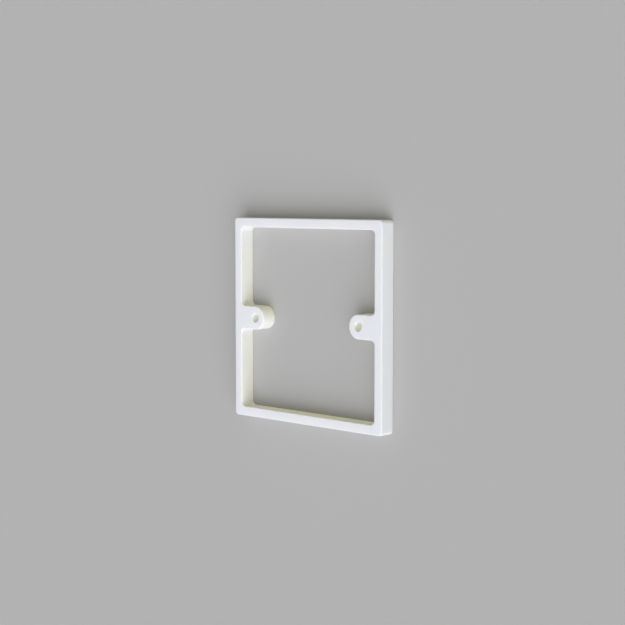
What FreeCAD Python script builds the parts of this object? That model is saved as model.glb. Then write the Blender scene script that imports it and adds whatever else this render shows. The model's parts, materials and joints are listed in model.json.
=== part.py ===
"""Spacer frame for a single square wall box: a flat plastic ring with two drilled lugs, moulded in one piece.

Millimetres. The back of the ring lies on z = 0 and its front faces up. The origin is the centre of the back.
The two lugs point at each other along X, and the fixing screws of a switch or socket plate pass through them.
"""

import FreeCAD, Part
import math
import os

# Ring
SIDE = 86.0                   # outer width and height, the size of a single plate
DEPTH = 7.0                   # how far the spacer brings the plate forward
WALL = 4.0                    # width of the ring seen from the front
OUTER_CORNER_RADIUS = 1.5
INNER_CORNER_RADIUS = 2.0

# Lugs
SCREW_CENTRES = 60.3          # standard distance between the two fixing screws
LUG_WIDTH = 10.0              # the end of each lug is a half circle of this diameter
LUG_ROOT_RADIUS = 2.0         # where each side of a lug runs into the ring
SCREW_HOLE_DIAMETER = 4.0     # clearance for a 3.5 mm machine screw

# Soft edges that the mould leaves round the front and the back
EDGE_RADIUS = 0.3

# Two points or heights closer than this are the same
SAME = 1e-6


def rounded_wire(corners):
    """A closed outline through the given corners, each an x, a y and the radius that rounds it."""
    starts = []
    ends = []
    arcs = []
    for index, (x, y, radius) in enumerate(corners):
        corner = FreeCAD.Vector(x, y, 0)
        before = FreeCAD.Vector(*corners[index - 1][:2], 0)
        after = FreeCAD.Vector(*corners[(index + 1) % len(corners)][:2], 0)
        to_before = (before - corner).normalize()
        to_after = (after - corner).normalize()
        half_angle = to_before.getAngle(to_after) / 2
        start = corner + to_before * (radius / math.tan(half_angle))
        end = corner + to_after * (radius / math.tan(half_angle))
        middle_way = (to_before + to_after).normalize()
        middle = corner + middle_way * (radius / math.sin(half_angle) - radius)
        starts.append(start)
        ends.append(end)
        arcs.append(Part.Arc(start, middle, end).toShape())
    edges = []
    for index, arc in enumerate(arcs):
        edges.append(arc)
        next_start = starts[(index + 1) % len(starts)]
        if ends[index].distanceToPoint(next_start) > SAME:
            edges.append(Part.makeLine(ends[index], next_start))
    return Part.Wire(edges)


def ring_outline():
    """The outer edge of the ring."""
    half = SIDE / 2
    return rounded_wire([
        (half, half, OUTER_CORNER_RADIUS),
        (-half, half, OUTER_CORNER_RADIUS),
        (-half, -half, OUTER_CORNER_RADIUS),
        (half, -half, OUTER_CORNER_RADIUS),
    ])


def opening_outline():
    """The edge of the opening, which goes round both lugs. One half is turned to make the other."""
    half = SIDE / 2 - WALL
    lug_half = LUG_WIDTH / 2
    lug_tip = SCREW_CENTRES / 2 - lug_half
    # The rounding at the root ends where the round end of the lug begins
    root_radius = min(LUG_ROOT_RADIUS, half - SCREW_CENTRES / 2)
    right_half = [
        (half, -half, INNER_CORNER_RADIUS),
        (half, -lug_half, root_radius),
        (lug_tip, -lug_half, lug_half),
        (lug_tip, lug_half, lug_half),
        (half, lug_half, root_radius),
        (half, half, INNER_CORNER_RADIUS),
    ]
    left_half = [(-x, -y, radius) for x, y, radius in right_half]
    return rounded_wire(right_half + left_half)


def screw_hole(side):
    """The rim of one screw hole, at the centre of its lug's round end. Side is 1 or -1."""
    centre = FreeCAD.Vector(side * SCREW_CENTRES / 2, 0, 0)
    return Part.Wire(Part.makeCircle(SCREW_HOLE_DIAMETER / 2, centre))


def rim_edges(solid):
    """The edges round the front and the back, without the rims of the screw holes."""
    rims = []
    for edge in solid.Edges:
        lies_flat = edge.BoundBox.ZLength < SAME
        if lies_flat and not edge.isClosed():
            rims.append(edge)
    return rims


def spacer_frame():
    """The whole spacer: one profile raised to its depth, with its front and back edges softened."""
    profile = Part.Face(
        [ring_outline(), opening_outline(), screw_hole(1), screw_hole(-1)],
        "Part::FaceMakerBullseye",
    )
    solid = profile.extrude(FreeCAD.Vector(0, 0, DEPTH))
    softened = solid.makeFillet(EDGE_RADIUS, rim_edges(solid))
    return softened.Solids[0]


os.makedirs("parts", exist_ok=True)
frame = spacer_frame()
frame.exportStep("parts/spacer_frame.step")
print("spacer_frame", frame.ShapeType, "valid", frame.isValid(), "volume", round(frame.Volume, 1), "mm3")
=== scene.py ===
"""Looks of the wall box spacer: moulded white plastic on a plain grey floor, softly lit from one side."""

import json
import math

import bpy
from mathutils import Matrix, Vector

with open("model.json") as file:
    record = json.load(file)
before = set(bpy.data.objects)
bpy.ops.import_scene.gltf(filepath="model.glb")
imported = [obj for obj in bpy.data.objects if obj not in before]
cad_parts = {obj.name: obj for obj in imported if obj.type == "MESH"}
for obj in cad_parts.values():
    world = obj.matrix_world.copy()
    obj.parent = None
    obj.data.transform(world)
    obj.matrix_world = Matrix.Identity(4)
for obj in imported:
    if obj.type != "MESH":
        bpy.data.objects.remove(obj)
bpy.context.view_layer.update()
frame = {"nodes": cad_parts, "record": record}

MM = 0.001

# Surface of the plastic. The real grain of an eroded mould is about 0.1 mm, too fine to show in the
# picture, so it is drawn coarser. The clouds are where the surface is a little duller or brighter.
GRAIN_SIZE = 0.7 * MM
GRAIN_HEIGHT = 0.015 * MM
CLOUD_SIZE = 12 * MM
CLOUD_LOW, CLOUD_HIGH = 0.3, 0.7              # what the cloud noise spans
SMOOTHEST, ROUGHEST = 0.54, 0.62
WHITE_LOW, WHITE_HIGH = "#E2E3E7", "#E6E7EB"
LIGHT_REACH = (3.5, 3.5, 2.2)                 # how deep red, green and blue light goes, in millimetres

# Camera, fitted to the outline of the spacer in the photograph
CAMERA_LENS = 83.65
CAMERA_PLACE = Vector((425.95, 52.99, 432.21)) * MM
CAMERA_AIM = Vector((-2.47, 3.58, 0.0)) * MM

# Floor, and the sky above and below it
FLOOR_WIDTH = 4.0
FLOOR_GREY = "#B3B2B1"
BACKGROUND_GREY = "#B2B2B2"
SKY_BRIGHTNESS = 0.296
BELOW_AT_MINUS_Y = "#102868"
BELOW_AT_PLUS_Y = "#D0CEA6"

# How far the light panels lie under the floor
OPENING_PANEL_DEPTH = 12 * MM
HOLE_PANEL_DEPTH = 0.5 * MM

# Turns a light, which shines down by itself, to shine up
FACING_UP = (math.pi, 0, 0)


def linear(hex_colour):
    """An sRGB hex colour as linear red, green, blue and alpha."""
    channels = []
    for start in (1, 3, 5):
        value = int(hex_colour[start:start + 2], 16) / 255
        if value <= 0.04045:
            channels.append(value / 12.92)
        else:
            channels.append(((value + 0.055) / 1.055) ** 2.4)
    return (*channels, 1.0)


def add_node(tree, kind, settings=None, inputs=None):
    """A new node with its settings, and its inputs set to values or linked to other nodes' outputs."""
    node = tree.nodes.new(kind)
    for name, value in (settings or {}).items():
        setattr(node, name, value)
    for name, value in (inputs or {}).items():
        if isinstance(value, bpy.types.NodeSocket):
            tree.links.new(value, node.inputs[name])
        else:
            node.inputs[name].default_value = value
    return node


def new_material(name):
    """An empty node material and its tree."""
    material = bpy.data.materials.new(name)
    material.use_nodes = True
    material.node_tree.nodes.clear()
    return material, material.node_tree


def moulded_abs():
    """White ABS from a finely eroded mould: an even, almost matt surface, a little cooler than paper.

    Light goes a few millimetres into it, blue less far than the rest, which softens edges and holes.
    """
    material, tree = new_material("moulded_white_abs")
    coordinates = add_node(tree, "ShaderNodeTexCoord")
    grain = add_node(tree, "ShaderNodeTexNoise", inputs={
        "Vector": coordinates.outputs["Object"],
        "Scale": 1 / GRAIN_SIZE,
        "Detail": 2.0,
    })
    bump = add_node(tree, "ShaderNodeBump", inputs={
        "Height": grain.outputs["Fac"],
        "Strength": 0.5,
        "Distance": GRAIN_HEIGHT,
    })
    cloud = add_node(tree, "ShaderNodeTexNoise", inputs={
        "Vector": coordinates.outputs["Object"],
        "Scale": 1 / CLOUD_SIZE,
        "Detail": 3.0,
    })
    white = add_node(tree, "ShaderNodeMix", {"data_type": "RGBA"}, {
        "Factor": cloud.outputs["Fac"],
        "A": linear(WHITE_LOW),
        "B": linear(WHITE_HIGH),
    })
    roughness = add_node(tree, "ShaderNodeMapRange", inputs={
        "Value": cloud.outputs["Fac"],
        "From Min": CLOUD_LOW,
        "From Max": CLOUD_HIGH,
        "To Min": SMOOTHEST,
        "To Max": ROUGHEST,
    })
    shader = add_node(tree, "ShaderNodeBsdfPrincipled", inputs={
        "Base Color": white.outputs["Result"],
        "Roughness": roughness.outputs["Result"],
        "IOR": 1.53,
        "Specular IOR Level": 0.25,
        "Normal": bump.outputs["Normal"],
        "Subsurface Weight": 0.5,
        "Subsurface Radius": LIGHT_REACH,
        "Subsurface Scale": MM,
    })
    add_node(tree, "ShaderNodeOutputMaterial", inputs={"Surface": shader.outputs["BSDF"]})
    return material


def floor_paint():
    """Matt grey paint, the photograph's background."""
    material, tree = new_material("matt_grey_floor_paint")
    shader = add_node(tree, "ShaderNodeBsdfDiffuse", inputs={"Color": linear(FLOOR_GREY)})
    add_node(tree, "ShaderNodeOutputMaterial", inputs={"Surface": shader.outputs["BSDF"]})
    return material


def make_floor():
    """The plane that the spacer lies on. It takes the shadow, but lets the light from below through.

    The photograph's background does the same: the walls turned away from the light are pale and warm.
    """
    bpy.ops.mesh.primitive_plane_add(size=FLOOR_WIDTH)
    floor = bpy.context.object
    floor.name = "floor"
    floor.data.materials.append(floor_paint())
    floor.visible_diffuse = False
    floor.visible_shadow = False


def make_world():
    """Light from all round: plain above the floor, and below it warm from +Y and weak and cool from -Y.

    Past the floor's edge the camera sees the floor's grey, and so does gloss.
    """
    world = bpy.data.worlds.new("studio")
    world.use_nodes = True
    tree = world.node_tree
    tree.nodes.clear()
    coordinates = add_node(tree, "ShaderNodeTexCoord")
    way = add_node(tree, "ShaderNodeSeparateXYZ", inputs={"Vector": coordinates.outputs["Generated"]})
    towards_plus_y = add_node(tree, "ShaderNodeMapRange", inputs={
        "Value": way.outputs["Y"],
        "From Min": -1.0,
        "From Max": 1.0,
    })
    tint = add_node(tree, "ShaderNodeMix", {"data_type": "RGBA"}, {
        "Factor": towards_plus_y.outputs["Result"],
        "A": linear(BELOW_AT_MINUS_Y),
        "B": linear(BELOW_AT_PLUS_Y),
    })
    above = add_node(tree, "ShaderNodeBackground", inputs={
        "Color": linear("#FFFFFF"),
        "Strength": SKY_BRIGHTNESS,
    })
    below = add_node(tree, "ShaderNodeBackground", inputs={"Color": tint.outputs["Result"]})
    is_above = add_node(tree, "ShaderNodeMath", {"operation": "GREATER_THAN"}, {
        0: way.outputs["Z"],
        1: 0.0,
    })
    light = add_node(tree, "ShaderNodeMixShader", inputs={
        0: is_above.outputs["Value"],
        1: below.outputs["Background"],
        2: above.outputs["Background"],
    })
    background = add_node(tree, "ShaderNodeBackground", inputs={"Color": linear(BACKGROUND_GREY)})
    path = add_node(tree, "ShaderNodeLightPath")
    sees_background = add_node(tree, "ShaderNodeMath", {"operation": "MAXIMUM"}, {
        0: path.outputs["Is Camera Ray"],
        1: path.outputs["Is Glossy Ray"],
    })
    mixed = add_node(tree, "ShaderNodeMixShader", inputs={
        0: sees_background.outputs["Value"],
        1: light.outputs["Shader"],
        2: background.outputs["Background"],
    })
    add_node(tree, "ShaderNodeOutputWorld", inputs={"Surface": mixed.outputs["Shader"]})
    bpy.context.scene.world = world


def make_sun(name, azimuth, elevation, angle, strength, colour):
    """Broad light from far away. Azimuth turns from +X towards +Y, all angles in degrees."""
    light = bpy.data.lights.new(name, "SUN")
    light.angle = math.radians(angle)
    light.energy = strength
    light.color = linear(colour)[:3]
    lamp = bpy.data.objects.new(name, light)
    flat = math.cos(math.radians(elevation))
    way = Vector((
        flat * math.cos(math.radians(azimuth)),
        flat * math.sin(math.radians(azimuth)),
        math.sin(math.radians(elevation)),
    ))
    lamp.rotation_euler = way.to_track_quat("Z", "Y").to_euler()
    bpy.context.scene.collection.objects.link(lamp)


def make_panel(name, shape, place, width, brightness, colour):
    """A light under the floor, which hides it from the camera. Its brightness is the same at any width."""
    light = bpy.data.lights.new(name, "AREA")
    light.shape = shape
    light.size = width
    area = width ** 2
    if shape == "DISK":
        area *= math.pi / 4
    light.energy = math.pi * area * brightness
    light.color = linear(colour)[:3]
    lamp = bpy.data.objects.new(name, light)
    lamp.location = place
    lamp.rotation_euler = FACING_UP
    bpy.context.scene.collection.objects.link(lamp)


def light_insides():
    """Warm panels under the opening and the screw holes, which are pale and yellowish inside."""
    record = frame["record"]
    openings = {opening["name"]: opening["box_m"] for opening in record["physics"]["openings"]}
    low, high = openings["opening_above_lugs"]
    make_panel(
        "under_opening", "SQUARE", (0, 0, -OPENING_PANEL_DEPTH), high[0] - low[0],
        brightness=0.32, colour="#FFE800",
    )
    mounts = {mount["name"]: mount["dims"] for mount in record["mounts"]}
    hole_x = mounts["screw_holes"]["spacing_x_mm"] / 2 * MM
    hole_width = mounts["screw_holes"]["hole_r_mm"] * 2 * MM
    make_panel(
        "under_left_hole", "DISK", (-hole_x, 0, -HOLE_PANEL_DEPTH), hole_width,
        brightness=1.9, colour="#FCFBA4",
    )
    make_panel(
        "under_right_hole", "DISK", (hole_x, 0, -HOLE_PANEL_DEPTH), hole_width,
        brightness=1.7, colour="#FAFBB8",
    )


def make_camera():
    """The photograph's view, with the spacer's +Y up in the picture."""
    camera = bpy.data.cameras.new("camera")
    camera.lens = CAMERA_LENS
    holder = bpy.data.objects.new("camera", camera)
    forward = (CAMERA_AIM - CAMERA_PLACE).normalized()
    right = forward.cross(Vector((0, 1, 0))).normalized()
    up = right.cross(forward)
    turn = Matrix((right, up, -forward)).transposed()
    holder.matrix_world = Matrix.Translation(CAMERA_PLACE) @ turn.to_4x4()
    bpy.context.scene.collection.objects.link(holder)
    bpy.context.scene.camera = holder


plastic = moulded_abs()
for slot in frame["nodes"]["spacer_frame"].material_slots:
    slot.material = plastic
make_floor()
make_world()
make_sun("key", azimuth=-45, elevation=35, angle=80, strength=3.34, colour="#FAFCFF")
make_sun("overhead", azimuth=-135, elevation=70, angle=45, strength=0.37, colour="#FFFFFF")
light_insides()
make_camera()
bpy.context.scene.view_settings.view_transform = "Standard"
